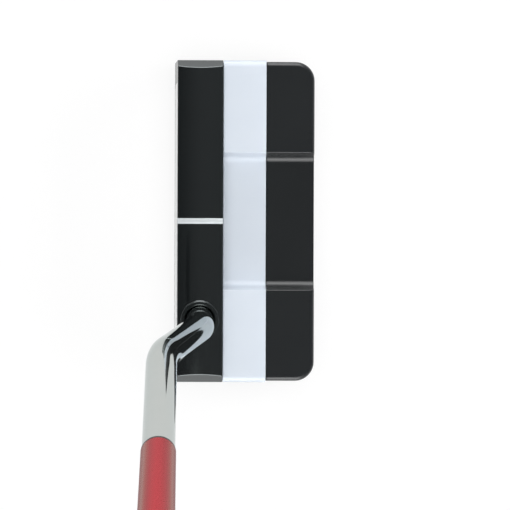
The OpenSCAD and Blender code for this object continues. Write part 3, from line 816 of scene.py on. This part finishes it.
profile = [(-FLOOR_HALF, WALL_H)]
for i in range(COVE_STEPS + 1):
    a = math.pi / 2 * i / COVE_STEPS
    profile.append((-FLOOR_HALF + COVE_R - COVE_R * math.cos(a), COVE_R - COVE_R * math.sin(a)))
profile += [(-y, z) for y, z in reversed(profile)]
shape = bmesh.new()
rows = [[shape.verts.new((x, y, z)) for y, z in profile] for x in (-FLOOR_HALF, FLOOR_HALF)]
for i in range(len(profile) - 1):
    shape.faces.new((rows[0][i], rows[1][i], rows[1][i + 1], rows[0][i + 1]))
shape.normal_update()
if max(shape.faces, key=lambda face: face.calc_area()).normal.z < 0:
    bmesh.ops.reverse_faces(shape, faces=shape.faces)
mesh = bpy.data.meshes.new("studio_floor")
shape.to_mesh(mesh)
shape.free()
floor = bpy.data.objects.new("studio_floor", mesh)
bpy.context.collection.objects.link(floor)

# Studio paint: matt, and mid grey to the light, so that it throws little back at the club.
paint = bpy.data.materials.new("studio_paint_white")
paint.use_nodes = True
tree = paint.node_tree
tree.nodes.remove(tree.nodes["Principled BSDF"])
ray = put(tree, "ShaderNodeLightPath").outputs
seen = put(tree, "ShaderNodeMath", {
    0: ray["Is Camera Ray"], 1: ray["Is Glossy Ray"],
}, operation="ADD")
seen = put(tree, "ShaderNodeMath", {
    0: seen.outputs[0], 1: ray["Is Transmission Ray"],
}, operation="ADD", use_clamp=True)
spot = put(tree, "ShaderNodeTexCoord")
away = put(tree, "ShaderNodeVectorMath", {0: spot.outputs["Object"]}, operation="LENGTH")
pale = put(tree, "ShaderNodeMapRange", {
    "Value": away.outputs["Value"],
    "From Min": 0.6,
    "From Max": 2.0,
    "To Min": NEAR_WHITE,
    "To Max": 1.0,
})
shown = put(tree, "ShaderNodeMath", {
    0: pale.outputs["Result"], 1: ray["Is Camera Ray"],
}, operation="MULTIPLY")
level = put(tree, "ShaderNodeMath", {0: seen.outputs[0], 1: NEAR_WHITE}, operation="MULTIPLY")
level = put(tree, "ShaderNodeMath", {
    0: level.outputs[0], 1: shown.outputs[0],
}, operation="MAXIMUM")
matt = put(tree, "ShaderNodeBsdfDiffuse", {"Color": linear("#787878")})
glow = put(tree, "ShaderNodeEmission", {"Color": (1, 1, 1, 1), "Strength": level.outputs[0]})
both = put(tree, "ShaderNodeAddShader", {0: matt.outputs[0], 1: glow.outputs[0]})
under = put(tree, "ShaderNodeNewGeometry")
clear = put(tree, "ShaderNodeBsdfTransparent")
sided = put(tree, "ShaderNodeMixShader", {
    0: under.outputs["Backfacing"], 1: both.outputs[0], 2: clear.outputs[0],
})
tree.links.new(sided.outputs[0], tree.nodes["Material Output"].inputs["Surface"])
mesh.materials.append(paint)

# Studio light: white cards on all four sides and one overhead light the surfaces evenly, a
# tall soft box beyond the toe and one beyond the heel show in the gloss alone, and the room
# is dim before the face. Places and sizes are in metres, and powers in watts.
AIM = Vector((0, 0, 0.02))
for name, place, across, up, power in (
    ("toe_softbox", (0.0, 1.85, 0.95), 1.3, 2.4, 43.0),
    ("heel_softbox", (0.0, -1.85, 0.95), 1.3, 2.4, 41.0),
    ("toe_card", (0.0, 1.85, 0.35), 1.6, 0.6, 19.5),
    ("heel_card", (0.0, -1.85, 0.35), 1.6, 0.6, 20.0),
    ("face_card", (-1.8, 0.0, 0.25), 2.4, 0.4, 18.0),
    ("back_card", (1.8, 0.0, 0.6), 2.4, 1.0, 34.0),
    ("top_card", (0.0, 0.0, 2.2), 2.0, 2.0, 29.0),
):
    lamp = bpy.data.lights.new(name, "AREA")
    lamp.shape = "RECTANGLE"
    lamp.size = across
    lamp.size_y = up
    lamp.energy = power
    box = bpy.data.objects.new(name, lamp)
    box.location = place
    box.rotation_euler = (AIM - box.location).to_track_quat("-Z", "Y").to_euler()
    box.visible_camera = False
    box.visible_diffuse = name.endswith("card")
    box.visible_glossy = name.endswith("softbox")
    bpy.context.collection.objects.link(box)

room = bpy.data.worlds.new("dim_room")
room.use_nodes = True
tree = room.node_tree
spot = put(tree, "ShaderNodeTexCoord")
split = put(tree, "ShaderNodeSeparateXYZ", {"Vector": spot.outputs["Generated"]})
level = put(tree, "ShaderNodeMapRange", {
    "Value": split.outputs["X"],
    "From Min": -0.45,
    "From Max": 0.0,
    "To Min": 0.05,
    "To Max": 0.157,
})
ray = put(tree, "ShaderNodeLightPath").outputs
shown = put(tree, "ShaderNodeMath", {
    0: level.outputs["Result"], 1: ray["Is Camera Ray"],
}, operation="MAXIMUM")
tree.nodes["Background"].inputs["Color"].default_value = (1, 1, 1, 1)
tree.links.new(shown.outputs[0], tree.nodes["Background"].inputs["Strength"])
bpy.context.scene.world = room

# Camera: a long lens straight above the head, which shows it as the player sees it when
# the club is set down behind the ball.
lens = bpy.data.cameras.new("above_the_head")
lens.lens = 236.8
lens.sensor_width = 36.0
camera = bpy.data.objects.new("above_the_head", lens)
camera.location = Vector((-13.5, -9, 1125)) * MM
camera.rotation_euler = (math.radians(-0.112), math.radians(-0.857), math.radians(0.2))
bpy.context.collection.objects.link(camera)
bpy.context.scene.camera = camera
bpy.context.scene.view_settings.view_transform = "Standard"
